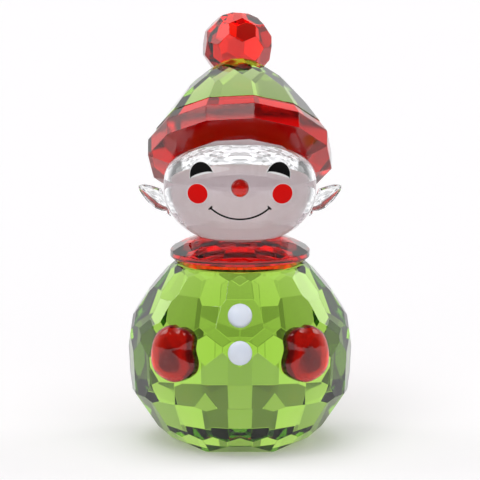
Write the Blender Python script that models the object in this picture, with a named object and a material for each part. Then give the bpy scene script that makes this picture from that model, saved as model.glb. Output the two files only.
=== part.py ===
"""A small holiday elf of cut crystal: polished stones of coloured glass, glued one on another.

The elf stands on +Z and looks along -Y. The origin is the middle of the flat face that it stands on.
A stone is cut as a glass cutter cuts it: a plain blank meets flat facets, tier by tier around its axis.
Lengths are in metres and angles in degrees. An azimuth is counted from the elf's front towards +X.
"""

import math
from dataclasses import dataclass

import bmesh
import bpy
from mathutils import Matrix, Vector

GLUE_LINE = 0.0003
PRINT_CLEARANCE = 0.0001
PRINT_THICKNESS = 0.00015

BODY_HEIGHT = 0.0226
BODY_FACETS = 20
BASE_SIDES = 6
BASE_APOTHEM = 0.0071
BASE_STRIP_TILT = -62.0

# Each tier of the body's facets passes through this radius at this height.
SHOULDER_RADIUS = 0.0088
SHOULDER_HEIGHT = 0.0222
KITE_RADIUS = 0.0098
KITE_HEIGHT = 0.0210
CORNER_RADIUS = 0.01124
CORNER_HEIGHT = 0.0195
PANEL_RADIUS = 0.01186
SIDE_PANEL_RADIUS = 0.01210
PANEL_HEIGHT = 0.0180
CHEST_RADIUS = 0.01318
CHEST_HEIGHT = 0.0161
LOWER_PANEL_RADIUS = 0.01372
LOWER_PANEL_HEIGHT = 0.0137
WAIST_RADIUS = 0.01362
WAIST_HEIGHT = 0.0093
KNEE_RADIUS = 0.01338
SKIRT_RADIUS = 0.01335
SKIRT_HEIGHT = 0.0066
FOOT_RADIUS = 0.01112
FOOT_HEIGHT = 0.0029

MITTEN_AZIMUTH = 35.0
MITTEN_HEIGHT = 0.01335
MITTEN_TILT = 5.0
MITTEN_LENGTH = 0.0070
MITTEN_SEAT_DEPTH = 0.0003
MITTEN_WALL = 0.0007
MITTEN_DOME = 0.0014
MITTEN_CREASE_DEPTH = 0.0003
MITTEN_CREASE_WIDTH = 0.0005

BUTTON_RADIUS = 0.00149
BUTTON_WALL = 0.0003
BUTTON_DOME = 0.0006
UPPER_BUTTON_HEIGHT = 0.0180
LOWER_BUTTON_HEIGHT = 0.01385

COLLAR_RADIUS = 0.0087
COLLAR_FOOT_RADIUS = 0.0079
COLLAR_FOOT = 0.0007
COLLAR_RIM = 0.0007
COLLAR_HEIGHT = 0.00305
COLLAR_TABLE_RADIUS = 0.0057
COLLAR_FACETS = 12
COLLAR_STAR_DROP = 0.00045

HEAD_HALF_WIDTH = 0.0095
HEAD_HALF_DEPTH = 0.0070
HEAD_TOP = 0.0051
HEAD_BOTTOM = 0.0075
HEAD_ROUNDNESS = 2.3
HEAD_CENTRE_ABOVE_SEAT = 0.0065

NOSE_HEIGHT = 0.00047
NOSE_RADIUS = 0.0011
NOSE_WALL = 0.0002
NOSE_DOME = 0.0008

CHEEK_PLACE = (0.0052, -0.0004)
CHEEK_RADIUS = 0.00122

EYE_PLACE = (0.0047, 0.0018)
EYE_HALF_WIDTH = 0.00142
EYE_TOP = 0.00150
EYE_UNDERSIDE = 0.00035
EYE_TURN = 17.0

MOUTH_HALF_WIDTH = 0.0037
MOUTH_HEIGHT = -0.00205
MOUTH_DROP = 0.0015
MOUTH_LINE = 0.00020
MOUTH_TICK = 0.00062

EAR_SEAT_HEIGHT = -0.0027
EAR_LENGTH = 0.0042
EAR_RISE = 33.0
EAR_HALF_WIDTH = 0.00135
EAR_HALF_THICKNESS = 0.0010
EAR_ROOT_SHARE = 0.78

HAT_LEAN = 37.0
HAT_SPIN = 8.9
HAT_SEAT_BEHIND = 0.0038
HAT_SEAT_ABOVE = 0.00106
HAT_SIDES = 12
BRIM_RADIUS = 0.01165
BRIM_FOOT_RADIUS = 0.0088
BRIM_FOOT = 0.0010
BRIM_BAND = 0.0022
BRIM_TOP_RADIUS = 0.0107
BRIM_TOP = 0.0015

CROWN_BASE_RADIUS = 0.0102
CROWN_WAIST_RADIUS = 0.0075
CROWN_WAIST = 0.0044
CROWN_SHOULDER_RADIUS = 0.0054
CROWN_SHOULDER = 0.0070
CROWN_TOP_RADIUS = 0.0030
CROWN_HEIGHT = 0.0091

POMPOM_RADIUS = 0.00414
POMPOM_CENTRE = 0.0033
POMPOM_ASIDE = -0.00035
POMPOM_SIDES = 8

ROUND_STEPS = 48
DOME_RINGS = 5
CUT_TOLERANCE = 1e-8
MERGE_DISTANCE = 2e-6


@dataclass(frozen=True)
class Tier:
    """Facets of one slope, evenly spaced around a stone's axis.

    Each facet's face looks tilt degrees above the horizontal, and passes through the height at the radius
    given. The first one looks at the azimuth start.
    """

    count: int
    start: float
    tilt: float
    radius: float
    height: float

    def facets(self):
        """Yields a point and the outward normal of each facet."""
        for step in range(self.count):
            azimuth = self.start + step * 360.0 / self.count
            outward = direction(azimuth)
            yield outward * self.radius + Vector((0, 0, self.height)), direction(azimuth, self.tilt)

    def radius_at(self, height):
        """The distance from the axis at which the facets reach a height."""
        return self.radius - (height - self.height) * math.tan(math.radians(self.tilt))


@dataclass(frozen=True)
class Seat:
    """A flat place on a stone, where another piece is glued."""

    point: Vector
    normal: Vector

    def matrix(self):
        """The place of a piece whose back is its own XY plane and whose +Y is up along the seat."""
        up = Vector((0, 0, 1)) - self.normal * self.normal.z
        up.normalize()
        across = up.cross(self.normal)
        turn = Matrix((across, up, self.normal)).transposed().to_4x4()
        return Matrix.Translation(self.point + self.normal * GLUE_LINE) @ turn


def direction(azimuth, tilt=0.0):
    """The unit vector at an azimuth from the front, raised by tilt."""
    turn = math.radians(azimuth)
    rise = math.radians(tilt)
    return Vector((math.sin(turn) * math.cos(rise), -math.cos(turn) * math.cos(rise), math.sin(rise)))


def slope(lower, upper):
    """The tilt of a facet that passes through two (radius, height) points of a stone's profile."""
    return math.degrees(math.atan2(lower[0] - upper[0], upper[1] - lower[1]))


HALF_STEP = 180.0 / BODY_FACETS

# The body's tiers, from its shoulder down. Those that start at 0 have a facet in the middle of the front, and
# those that start at a half step have an edge there. The panels take turns: every other one is cut deeper.
SHOULDER = Tier(BODY_FACETS, HALF_STEP, 50.0, SHOULDER_RADIUS, SHOULDER_HEIGHT)
KITES = Tier(BODY_FACETS, 0.0, 40.0, KITE_RADIUS, KITE_HEIGHT)
UPPER_CORNERS = Tier(BODY_FACETS, HALF_STEP, 36.0, CORNER_RADIUS, CORNER_HEIGHT)
UPPER_PANELS = Tier(BODY_FACETS // 2, 0.0, 31.0, PANEL_RADIUS, PANEL_HEIGHT)
SIDE_PANELS = Tier(BODY_FACETS // 2, 2 * HALF_STEP, 33.0, SIDE_PANEL_RADIUS, PANEL_HEIGHT)
CHEST_CORNERS = Tier(BODY_FACETS, HALF_STEP, 21.0, CHEST_RADIUS, CHEST_HEIGHT)
LOWER_PANELS = Tier(BODY_FACETS, 0.0, 8.0, LOWER_PANEL_RADIUS, LOWER_PANEL_HEIGHT)
WAIST = Tier(BODY_FACETS, HALF_STEP, -3.0, WAIST_RADIUS, WAIST_HEIGHT)
KNEES = Tier(BODY_FACETS // 2, 2 * HALF_STEP, -10.0, KNEE_RADIUS, SKIRT_HEIGHT)
SKIRT = Tier(BODY_FACETS, HALF_STEP, -34.0, SKIRT_RADIUS, SKIRT_HEIGHT)
FOOT = Tier(BODY_FACETS, 0.0, -47.0, FOOT_RADIUS, FOOT_HEIGHT)
STRIP = Tier(BASE_SIDES, 0.0, BASE_STRIP_TILT, BASE_APOTHEM, 0.0)
BODY_TIERS = (
    SHOULDER, KITES, UPPER_CORNERS, UPPER_PANELS, SIDE_PANELS, CHEST_CORNERS, LOWER_PANELS, WAIST, KNEES,
    SKIRT, FOOT, STRIP,
)

# The outline of the left mitten's back and the groove beside its thumb, as shares of its length. They are
# seen from outside: x towards the thumb, y up.
MITTEN_OUTLINE = (
    (-0.0786, 0.4929), (0.0500, 0.4643), (0.1857, 0.4786), (0.3429, 0.4214), (0.4357, 0.2929),
    (0.4286, 0.1000), (0.5000, -0.1357), (0.4214, -0.3357), (0.0857, -0.5000), (-0.2500, -0.4143),
    (-0.4071, -0.2429), (-0.4357, 0.0286), (-0.3357, 0.3286),
)
MITTEN_CREASE = ((0.0786, 0.4643), (0.2357, 0.2786))


def clear_scene():
    """Removes whatever the open file holds."""
    for item in list(bpy.data.objects):
        bpy.data.objects.remove(item, do_unlink=True)


def glass(name, colour, roughness=0.02, transmission=1.0, ior=1.55):
    """A material of coloured glass or enamel."""
    material = bpy.data.materials.new(name)
    material.use_nodes = True
    shader = material.node_tree.nodes["Principled BSDF"]
    shader.inputs["Base Color"].default_value = (*colour, 1.0)
    shader.inputs["Roughness"].default_value = roughness
    shader.inputs["Metallic"].default_value = 0.0
    shader.inputs["Transmission Weight"].default_value = transmission
    shader.inputs["IOR"].default_value = ior
    material.diffuse_color = (*colour, 1.0)
    return material


def add_piece(name, shape, material, parent=None, place=None, sharp_angle=None):
    """Makes an object of a finished shape.

    parent is the empty that carries it, place its matrix under that, and sharp_angle the angle between
    faces past which a smooth piece keeps an edge. Without it the piece is flat all over.
    """
    bmesh.ops.remove_doubles(shape, verts=shape.verts[:], dist=MERGE_DISTANCE)
    bmesh.ops.recalc_face_normals(shape, faces=shape.faces[:])
    mesh = bpy.data.meshes.new(name)
    shape.to_mesh(mesh)
    shape.free()
    mesh.materials.append(material)
    if sharp_angle is not None:
        mesh.shade_smooth()
        mesh.set_sharp_from_angle(angle=math.radians(sharp_angle))
    piece = bpy.data.objects.new(name, mesh)
    bpy.context.scene.collection.objects.link(piece)
    piece.parent = parent
    if place is not None:
        piece.matrix_basis = place
    return piece


def add_empty(name, place):
    """Makes an empty that carries pieces, at a place."""
    empty = bpy.data.objects.new(name, None)
    empty.empty_display_size = COLLAR_RADIUS
    empty.matrix_basis = place
    bpy.context.scene.collection.objects.link(empty)
    return empty


def blank(radius, bottom, top, steps=ROUND_STEPS):
    """A round blank between two heights."""
    shape = bmesh.new()
    bmesh.ops.create_cone(
        shape, cap_ends=True, segments=steps, radius1=radius, radius2=radius, depth=top - bottom,
        matrix=Matrix.Translation((0, 0, (top + bottom) / 2)),
    )
    return shape


def cut(shape, point, normal):
    """Grinds a flat facet: what lies beyond it goes, and the cut is closed."""
    bmesh.ops.bisect_plane(
        shape, geom=shape.verts[:] + shape.edges[:] + shape.faces[:], dist=CUT_TOLERANCE,
        plane_co=point, plane_no=normal, clear_outer=True,
    )
    rim = [edge for edge in shape.edges if edge.is_boundary]
    if rim:
        bmesh.ops.holes_fill(shape, edges=rim, sides=0)


def cut_tiers(shape, tiers):
    """Grinds every facet of the tiers given."""
    for tier in tiers:
        for point, normal in tier.facets():
            cut(shape, point, normal)


def cut_seat(shape, azimuth, tilt, height, depth):
    """Grinds a flat a little way into a stone for a piece to be glued on, and returns it."""
    normal = direction(azimuth, tilt)
    reach = max(vertex.co.dot(normal) for vertex in shape.verts) - depth
    cut(shape, normal * reach, normal)
    up = Vector((0, 0, 1)) - normal * normal.z
    up.normalize()
    middle = normal * reach
    return Seat(middle + up * (height - middle.z) / up.z, normal)


def dome(radius, wall, rise, steps=ROUND_STEPS, rings=DOME_RINGS):
    """A round cabochon: a flat back, a low wall and a domed face."""
    shape = bmesh.new()
    levels = [(radius, 0.0)]
    for ring in range(rings):
        turn = 0.5 * math.pi * ring / rings
        levels.append((radius * math.cos(turn), wall + rise * math.sin(turn)))
    previous = None
    for reach, height in levels:
        loop = []
        for step in range(steps):
            turn = 2 * math.pi * step / steps
            loop.append(shape.verts.new((reach * math.cos(turn), reach * math.sin(turn), height)))
        if previous is None:
            shape.faces.new(loop[::-1])
        else:
            join_loops(shape, previous, loop)
        previous = loop
    tip = shape.verts.new((0, 0, wall + rise))
    for step in range(steps):
        shape.faces.new((previous[step], previous[(step + 1) % steps], tip))
    return shape


def join_loops(shape, lower, upper):
    """Closes the band between two loops of as many points."""
    count = len(lower)
    for step in range(count):
        after = (step + 1) % count
        shape.faces.new((lower[step], lower[after], upper[after], upper[step]))


def build_body(material):
    """The green body, and the flats for its mittens."""
    shape = blank(LOWER_PANELS.radius * 1.1, 0.0, BODY_HEIGHT)
    cut_tiers(shape, BODY_TIERS)
    seats = {}
    for side, azimuth in (("left", -MITTEN_AZIMUTH), ("right", MITTEN_AZIMUTH)):
        seats[side] = cut_seat(shape, azimuth, MITTEN_TILT, MITTEN_HEIGHT, MITTEN_SEAT_DEPTH)
    add_piece("body", shape, material)
    return seats


def front_reach(tier, height):
    """How far a tier of the body would reach in the middle of the front, at a height."""
    return tier.radius_at(height) / math.cos(math.radians(tier.start))


def front_seat(height):
    """The place in the middle of the body's front at a height, on the tier that is cut deepest there."""
    tier = min(BODY_TIERS, key=lambda choice: front_reach(choice, height))
    return Seat(Vector((0, -front_reach(tier, height), height)), direction(0.0, tier.tilt))


def build_buttons(material):
    """Two domed discs, one on each of the panels down the body's front."""
    for name, height in (("upper_button", UPPER_BUTTON_HEIGHT), ("lower_button", LOWER_BUTTON_HEIGHT)):
        shape = dome(BUTTON_RADIUS, BUTTON_WALL, BUTTON_DOME, steps=32, rings=4)
        add_piece(name, shape, material, place=front_seat(height).matrix(), sharp_angle=40)


def smooth_loop(points, per_span):
    """A closed curve through the points, with the same number of steps between each two."""
    count = len(points)
    curve = []
    for index in range(count):
        before, start, end, after = (Vector(points[(index + shift) % count]) for shift in (-1, 0, 1, 2))
        for step in range(per_span):
            t = step / per_span
            curve.append(0.5 * (
                2 * start + (end - before) * t + (2 * before - 5 * start + 4 * end - after) * t ** 2
                + (3 * start - before - 3 * end + after) * t ** 3
            ))
    return curve


def crease_at(point, side):
    """How deep the groove between thumb and palm is at a point of the mitten's face."""
    start, end = (Vector((side * x, y)) * MITTEN_LENGTH for x, y in MITTEN_CREASE)
    along = end - start
    share = min(1.0, max(0.0, (point - start).dot(along) / along.length_squared))
    away = (point - start - along * share).length
    return MITTEN_CREASE_DEPTH * (1.0 - 0.5 * share) * math.exp(-((away / MITTEN_CREASE_WIDTH) ** 2))


def mitten(side):
    """A mitten: a flat back, a low wall and a domed face with a crease beside the thumb."""
    shares = smooth_loop(MITTEN_OUTLINE, 4)
    outline = [Vector((side * share.x, share.y)) * MITTEN_LENGTH for share in shares]
    middle = sum(outline, Vector((0, 0))) / len(outline)
    shape = bmesh.new()
    back = [shape.verts.new((point.x, point.y, 0)) for point in outline]
    shape.faces.new(back)
    previous = back
    rings = 8
    for ring in range(rings):
        turn = 0.5 * math.pi * ring / rings
        loop = []
        for point in outline:
            place = middle + (point - middle) * math.cos(turn)
            height = MITTEN_WALL + MITTEN_DOME * math.sin(turn)
            height -= crease_at(place, side)
            loop.append(shape.verts.new((place.x, place.y, height)))
        join_loops(shape, previous, loop)
        previous = loop
    tip = shape.verts.new((middle.x, middle.y, MITTEN_WALL + MITTEN_DOME))
    for step in range(len(previous)):
        shape.faces.new((previous[step], previous[(step + 1) % len(previous)], tip))
    return shape


def build_mittens(seats, material):
    """The two mittens, on the flats ground for them."""
    for name, side in (("left", 1), ("right", -1)):
        add_piece(f"{name}_mitten", mitten(side), material, place=seats[name].matrix(), sharp_angle=50)


def build_collar(material):
    """The red disc between body and head. Returns the height of its flat top."""
    foot = BODY_HEIGHT + GLUE_LINE
    top = foot + COLLAR_HEIGHT
    rim_top = foot + COLLAR_FOOT + COLLAR_RIM
    shape = blank(COLLAR_RADIUS, foot, top, steps=60)
    lower_edge = (COLLAR_FOOT_RADIUS, foot)
    rim_edge = (COLLAR_RADIUS, foot + COLLAR_FOOT)
    under = Tier(60, 0.0, slope(lower_edge, rim_edge), COLLAR_RADIUS, foot + COLLAR_FOOT)
    main_tilt = slope((COLLAR_RADIUS, rim_top), (COLLAR_TABLE_RADIUS, top))
    mains = Tier(COLLAR_FACETS, 0.0, main_tilt, COLLAR_RADIUS, rim_top)
    star_height = top - COLLAR_STAR_DROP / 3
    stars = Tier(COLLAR_FACETS, 180.0 / COLLAR_FACETS, main_tilt + 11.0, COLLAR_TABLE_RADIUS, star_height)
    rims = Tier(2 * COLLAR_FACETS, 90.0 / COLLAR_FACETS, main_tilt - 14.0, COLLAR_RADIUS, rim_top)
    cut_tiers(shape, (under, mains, stars, rims))
    add_piece("collar", shape, material)
    return top


def head_reach(x, z):
    """How far the head's front lies before its centre, at a place of the face."""
    tall = HEAD_TOP if z > 0 else HEAD_BOTTOM
    left = 1.0 - abs(x / HEAD_HALF_WIDTH) ** HEAD_ROUNDNESS - abs(z / tall) ** HEAD_ROUNDNESS
    return HEAD_HALF_DEPTH * max(0.0, left) ** (1.0 / HEAD_ROUNDNESS)


def head_normal(place):
    """The direction that the head's surface faces at a point of it."""
    tall = HEAD_TOP if place.z > 0 else HEAD_BOTTOM
    power = HEAD_ROUNDNESS - 1.0
    parts = []
    for value, size in zip(place, (HEAD_HALF_WIDTH, HEAD_HALF_DEPTH, tall)):
        parts.append(math.copysign(abs(value / size) ** power / size, value))
    return Vector(parts).normalized()


def face_seat(x, z):
    """The flat place that touches the head's front at a place of the face."""
    point = Vector((x, -head_reach(x, z), z))
    return Seat(point, head_normal(point))


def hat_place(centre):
    """Where the hat's axis starts and how it leans, from the head's centre."""
    seat = Vector((0, HAT_SEAT_BEHIND, centre + HAT_SEAT_ABOVE))
    return Matrix.Translation(seat) @ Matrix.Rotation(math.radians(-HAT_LEAN), 4, "X")


def build_head(neck, material):
    """The clear head, flat under the hat and on the collar. Returns the empty at its centre."""
    seat = neck + GLUE_LINE
    centre = seat + HEAD_CENTRE_ABOVE_SEAT
    carrier = add_empty("head_centre", Matrix.Translation((0, 0, centre)))
    shape = bmesh.new()
    bmesh.ops.create_uvsphere(shape, u_segments=48, v_segments=28, radius=1.0)
    for vertex in shape.verts:
        ray = vertex.co.copy()
        tall = HEAD_TOP if ray.z > 0 else HEAD_BOTTOM
        share = sum(
            abs(value / size) ** HEAD_ROUNDNESS
            for value, size in zip(ray, (HEAD_HALF_WIDTH, HEAD_HALF_DEPTH, tall))
        )
        vertex.co = ray * share ** (-1.0 / HEAD_ROUNDNESS)
    cut(shape, Vector((0, 0, -HEAD_CENTRE_ABOVE_SEAT)), Vector((0, 0, -1)))
    hat = hat_place(0.0)
    axis = hat.to_3x3() @ Vector((0, 0, 1))
    cut(shape, hat.translation - axis * GLUE_LINE, axis)
    add_piece("head", shape, material, parent=carrier, sharp_angle=30)
    return carrier


def build_nose(carrier, material):
    """The nose, a small dome in the middle of the face."""
    shape = dome(NOSE_RADIUS, NOSE_WALL, NOSE_DOME, steps=24, rings=4)
    place = face_seat(0.0, NOSE_HEIGHT).matrix()
    add_piece("nose", shape, material, parent=carrier, place=place, sharp_angle=40)


def ear(side):
    """An ear: a pointed drop, cut flat where it meets the head."""
    root = Vector((0, 0, EAR_SEAT_HEIGHT))
    tall = HEAD_BOTTOM if EAR_SEAT_HEIGHT < 0 else HEAD_TOP
    share = 1.0 - abs(EAR_SEAT_HEIGHT / tall) ** HEAD_ROUNDNESS
    root.x = HEAD_HALF_WIDTH * share ** (1.0 / HEAD_ROUNDNESS)
    normal = head_normal(root)
    rise = math.radians(EAR_RISE)
    axis = Vector((math.cos(rise), 0, math.sin(rise)))
    across = Vector((-math.sin(rise), 0, math.cos(rise)))
    behind = 2 * EAR_HALF_WIDTH
    stations = 12
    steps = 16
    shape = bmesh.new()
    previous = None
    for station in range(stations):
        share = max(0.0, station - 1) / (stations - 1)
        centre = root + axis * (EAR_LENGTH * share if station else -behind)
        swell = EAR_ROOT_SHARE + (1 - EAR_ROOT_SHARE) * min(1.0, 4 * share)
        spread = swell * (1 - share ** 1.7) ** 0.6
        loop = []
        for step in range(steps):
            turn = 2 * math.pi * step / steps
            offset = across * (EAR_HALF_WIDTH * spread * math.cos(turn))
            offset += Vector((0, EAR_HALF_THICKNESS * spread * math.sin(turn), 0))
            loop.append(shape.verts.new(centre + offset))
        if previous is None:
            shape.faces.new(loop[::-1])
        else:
            join_loops(shape, previous, loop)
        previous = loop
    tip = shape.verts.new(root + axis * EAR_LENGTH)
    for step in range(steps):
        shape.faces.new((previous[step], previous[(step + 1) % steps], tip))
    cut(shape, root + normal * GLUE_LINE, -normal)
    for vertex in shape.verts:
        vertex.co.x *= side
    return shape


def build_ears(carrier, material):
    """The two ears, glued on the head's sides."""
    for name, side in (("left_ear", -1), ("right_ear", 1)):
        add_piece(name, ear(side), material, parent=carrier, sharp_angle=40)


def print_field(upper, lower, rows):
    """A thin field of enamel on the face, between two lines of as many (x, z) points.

    The field follows the head's surface. Where the lines meet, at its ends, the points are merged.
    """
    shape = bmesh.new()
    layers = []
    for lift in (PRINT_CLEARANCE, PRINT_CLEARANCE + PRINT_THICKNESS):
        grid = []
        for above, below in zip(upper, lower):
            column = []
            for row in range(rows + 1):
                x, z = (a + (b - a) * row / rows for a, b in zip(above, below))
                point = Vector((x, -head_reach(x, z), z))
                column.append(shape.verts.new(point + head_normal(point) * lift))
            grid.append(column)
        layers.append(grid)
    for grid in layers:
        for left, right in zip(grid, grid[1:]):
            for row in range(rows):
                shape.faces.new((left[row], left[row + 1], right[row + 1], right[row]))
    inner, outer = layers
    for row in (0, rows):
        for index in range(len(inner) - 1):
            after = index + 1
            shape.faces.new((inner[index][row], inner[after][row], outer[after][row], outer[index][row]))
    for index in (0, len(inner) - 1):
        for row in range(rows):
            below = row + 1
            shape.faces.new((inner[index][row], inner[index][below], outer[index][below], outer[index][row]))
    bmesh.ops.remove_doubles(shape, verts=shape.verts[:], dist=MERGE_DISTANCE)
    bmesh.ops.dissolve_degenerate(shape, edges=shape.edges[:], dist=MERGE_DISTANCE)
    return shape


def build_cheeks(carrier, material):
    """The two round cheeks."""
    for name, side in (("left_cheek", -1), ("right_cheek", 1)):
        upper = []
        lower = []
        for step in range(17):
            turn = math.pi * step / 16
            x = side * CHEEK_PLACE[0] - CHEEK_RADIUS * math.cos(turn)
            rise = CHEEK_RADIUS * math.sin(turn)
            upper.append((x, CHEEK_PLACE[1] + rise))
            lower.append((x, CHEEK_PLACE[1] - rise))
        add_piece(name, print_field(upper, lower, 4), material, parent=carrier)


def build_eyes(carrier, material):
    """The two closed, smiling eyes: crescents whose outer ends hang lower."""
    turn_down = math.radians(EYE_TURN)
    for name, side in (("left_eye", -1), ("right_eye", 1)):
        upper = []
        lower = []
        for step in range(15):
            along = -math.cos(math.pi * step / 14)
            arch = math.sin(math.pi * step / 14)
            for line, bulge in ((upper, EYE_TOP), (lower, EYE_UNDERSIDE)):
                out = EYE_HALF_WIDTH * along
                rise = bulge * arch
                x = out * math.cos(turn_down) + rise * math.sin(turn_down)
                z = rise * math.cos(turn_down) - out * math.sin(turn_down)
                line.append((side * (EYE_PLACE[0] + x), EYE_PLACE[1] + z))
        add_piece(name, print_field(upper, lower, 2), material, parent=carrier)


def build_mouth(carrier, material):
    """The smile: a thin arc with a short tick across each end."""
    radius = (MOUTH_HALF_WIDTH ** 2 + MOUTH_DROP ** 2) / (2 * MOUTH_DROP)
    half_turn = math.asin(MOUTH_HALF_WIDTH / radius)
    tick_turn = MOUTH_LINE / radius
    step_turn = tick_turn / 10
    inner = half_turn - tick_turn
    steps = 24
    stations = [(-half_turn, MOUTH_TICK), (-inner - step_turn, MOUTH_TICK)]
    stations += [(inner * (2 * step / steps - 1), MOUTH_LINE) for step in range(steps + 1)]
    stations += [(inner + step_turn, MOUTH_TICK), (half_turn, MOUTH_TICK)]
    upper = []
    lower = []
    for turn, width in stations:
        for line, reach in ((upper, radius - width / 2), (lower, radius + width / 2)):
            line.append((reach * math.sin(turn), MOUTH_HEIGHT - MOUTH_DROP + radius - reach * math.cos(turn)))
    add_piece("mouth", print_field(upper, lower, 1), material, parent=carrier)


def build_brim(hat, material):
    """The hat's red band. Returns the height of its flat top along the hat's axis."""
    top = BRIM_FOOT + BRIM_BAND + BRIM_TOP
    band_top = BRIM_FOOT + BRIM_BAND
    start = HAT_SPIN + 180.0 / HAT_SIDES
    flat = math.cos(math.pi / HAT_SIDES)
    shape = blank(BRIM_RADIUS * 1.1, 0.0, top)
    foot = slope((BRIM_FOOT_RADIUS, 0.0), (BRIM_RADIUS, BRIM_FOOT))
    head = slope((BRIM_RADIUS, band_top), (BRIM_TOP_RADIUS, top))
    cut_tiers(shape, (
        Tier(HAT_SIDES, start, foot, BRIM_RADIUS * flat, BRIM_FOOT),
        Tier(HAT_SIDES, start, 0.0, BRIM_RADIUS * flat, BRIM_FOOT),
        Tier(HAT_SIDES, start, head, BRIM_RADIUS * flat, band_top),
    ))
    add_piece("hat_brim", shape, material, parent=hat)
    return top


def build_crown(hat, foot, material):
    """The hat's green crown. Returns the height of its flat top along the hat's axis."""
    shape = blank(CROWN_BASE_RADIUS * 1.1, 0.0, CROWN_HEIGHT)
    base = (CROWN_BASE_RADIUS, 0.0)
    waist = (CROWN_WAIST_RADIUS, CROWN_WAIST)
    shoulder = (CROWN_SHOULDER_RADIUS, CROWN_SHOULDER)
    top = (CROWN_TOP_RADIUS, CROWN_HEIGHT)
    on_vertices = HAT_SPIN
    between = HAT_SPIN + 180.0 / HAT_SIDES
    cut_tiers(shape, (
        Tier(HAT_SIDES, between, slope(base, waist), *base),
        Tier(HAT_SIDES, on_vertices, slope(waist, shoulder), *waist),
        Tier(HAT_SIDES, between, slope(shoulder, top), *shoulder),
    ))
    place = Matrix.Translation((0, 0, foot))
    add_piece("hat_crown", shape, material, parent=hat, place=place)
    return foot + CROWN_HEIGHT


def build_pompom(hat, foot, material):
    """The red ball, cut flat underneath."""
    shape = blank(POMPOM_RADIUS * 1.1, -POMPOM_CENTRE, POMPOM_RADIUS)
    tiers = []
    for row, tilt in enumerate((0.0, 34.0, 62.0, -34.0)):
        flat = math.radians(tilt)
        start = HAT_SPIN + (row % 2) * 180.0 / POMPOM_SIDES
        if tilt < 0:
            start = HAT_SPIN + 180.0 / POMPOM_SIDES
        tiers.append(Tier(
            POMPOM_SIDES, start, tilt, POMPOM_RADIUS * math.cos(flat), POMPOM_RADIUS * math.sin(flat),
        ))
    cut_tiers(shape, tiers)
    cut(shape, Vector((0, 0, POMPOM_RADIUS * 0.97)), Vector((0, 0, 1)))
    place = Matrix.Translation((POMPOM_ASIDE, 0, foot + POMPOM_CENTRE))
    add_piece("pompom", shape, material, parent=hat, place=place)


def main():
    """Builds the elf from the body up."""
    clear_scene()
    green = glass("green_crystal", (0.22, 0.50, 0.04))
    red = glass("red_crystal", (0.50, 0.02, 0.01))
    clear = glass("clear_crystal", (0.90, 0.91, 0.93))
    red_cabochon = glass("red_cabochon_glass", (0.42, 0.01, 0.005))
    white = glass("white_glass", (0.74, 0.79, 0.90), roughness=0.15, transmission=0.0)
    black_enamel = glass("black_enamel", (0.006, 0.006, 0.009), roughness=0.3, transmission=0.0)
    red_enamel = glass("red_enamel", (0.70, 0.006, 0.003), roughness=0.3, transmission=0.0)

    seats = build_body(green)
    build_mittens(seats, red_cabochon)
    build_buttons(white)
    neck = build_collar(red)
    head = build_head(neck, clear)
    build_ears(head, clear)
    build_nose(head, red_cabochon)
    build_cheeks(head, red_enamel)
    build_eyes(head, black_enamel)
    build_mouth(head, black_enamel)
    hat = add_empty("hat_seat", hat_place(neck + GLUE_LINE + HEAD_CENTRE_ABOVE_SEAT))
    brim_top = build_brim(hat, red)
    crown_top = build_crown(hat, brim_top + GLUE_LINE, green)
    build_pompom(hat, crown_top + GLUE_LINE, red)


main()
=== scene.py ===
"""Dresses a small holiday elf of cut crystal, and sets it on a white table under soft studio light.

The elf stands on +Z and looks along -Y, with its flat base face on the origin. Lengths are in metres and
angles in degrees. An azimuth is counted from the elf's front towards +X. Each stone is cut again here, as a
glass cutter cuts it: a round blank meets flat facets, tier by tier, and its edges are then lightly polished.
"""

import logging
import math
from collections.abc import Callable, Iterable, Iterator, Sequence
from contextlib import contextmanager
from dataclasses import dataclass
from enum import Enum
from functools import partial

import bpy
from mathutils import Matrix, Vector


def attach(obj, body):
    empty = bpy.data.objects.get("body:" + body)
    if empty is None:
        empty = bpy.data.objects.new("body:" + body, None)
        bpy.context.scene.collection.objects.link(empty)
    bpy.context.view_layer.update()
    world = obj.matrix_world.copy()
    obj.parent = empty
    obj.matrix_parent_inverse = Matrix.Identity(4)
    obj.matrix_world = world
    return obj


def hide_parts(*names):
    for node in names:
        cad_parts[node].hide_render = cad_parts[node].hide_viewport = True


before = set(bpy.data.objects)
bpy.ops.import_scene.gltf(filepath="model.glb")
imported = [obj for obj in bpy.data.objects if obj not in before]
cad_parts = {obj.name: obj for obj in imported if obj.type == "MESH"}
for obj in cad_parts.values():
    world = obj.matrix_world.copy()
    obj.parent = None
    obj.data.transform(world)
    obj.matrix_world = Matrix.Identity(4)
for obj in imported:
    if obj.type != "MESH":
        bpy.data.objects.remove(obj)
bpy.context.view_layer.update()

LOG = logging.getLogger("crystal_elf")

# The cement between two stones is about 0.1 mm thick and clear. Each stone is drawn this much longer at each
# joint than its solid, which leaves a seam too thin to see.
CEMENT_HALF = 0.00014
# A print lies this far off what it is printed on.
PRINT_LIFT = 0.00001
# A blank is turned this many times as wide as the stone that is cut from it.
BLANK_SPARE = 1.1
# The dome of a pressed disc has this many rings.
DISC_RINGS = 12
# Points nearer to each other than this become one.
MERGE = 2e-6
# A cut takes points nearer to its plane than this as lying in it.
CUT_TOLERANCE = 1e-8
# A face is part of a flat where the cosine of the angle between the two is above this.
FLAT_COSINE = 0.9995
WHITE = "FFFFFF"

Point2 = tuple[float, float]
Line = Callable[[float], Point2]
Materials = dict[str, bpy.types.Material]


class Side(Enum):
    """The viewer's left or right, as the sign of X."""

    LEFT = -1
    RIGHT = 1

    def node(self, piece: str) -> str:
        """The name of this side's solid of a piece that comes in pairs."""
        return f"{self.name.lower()}_{piece}"


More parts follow.
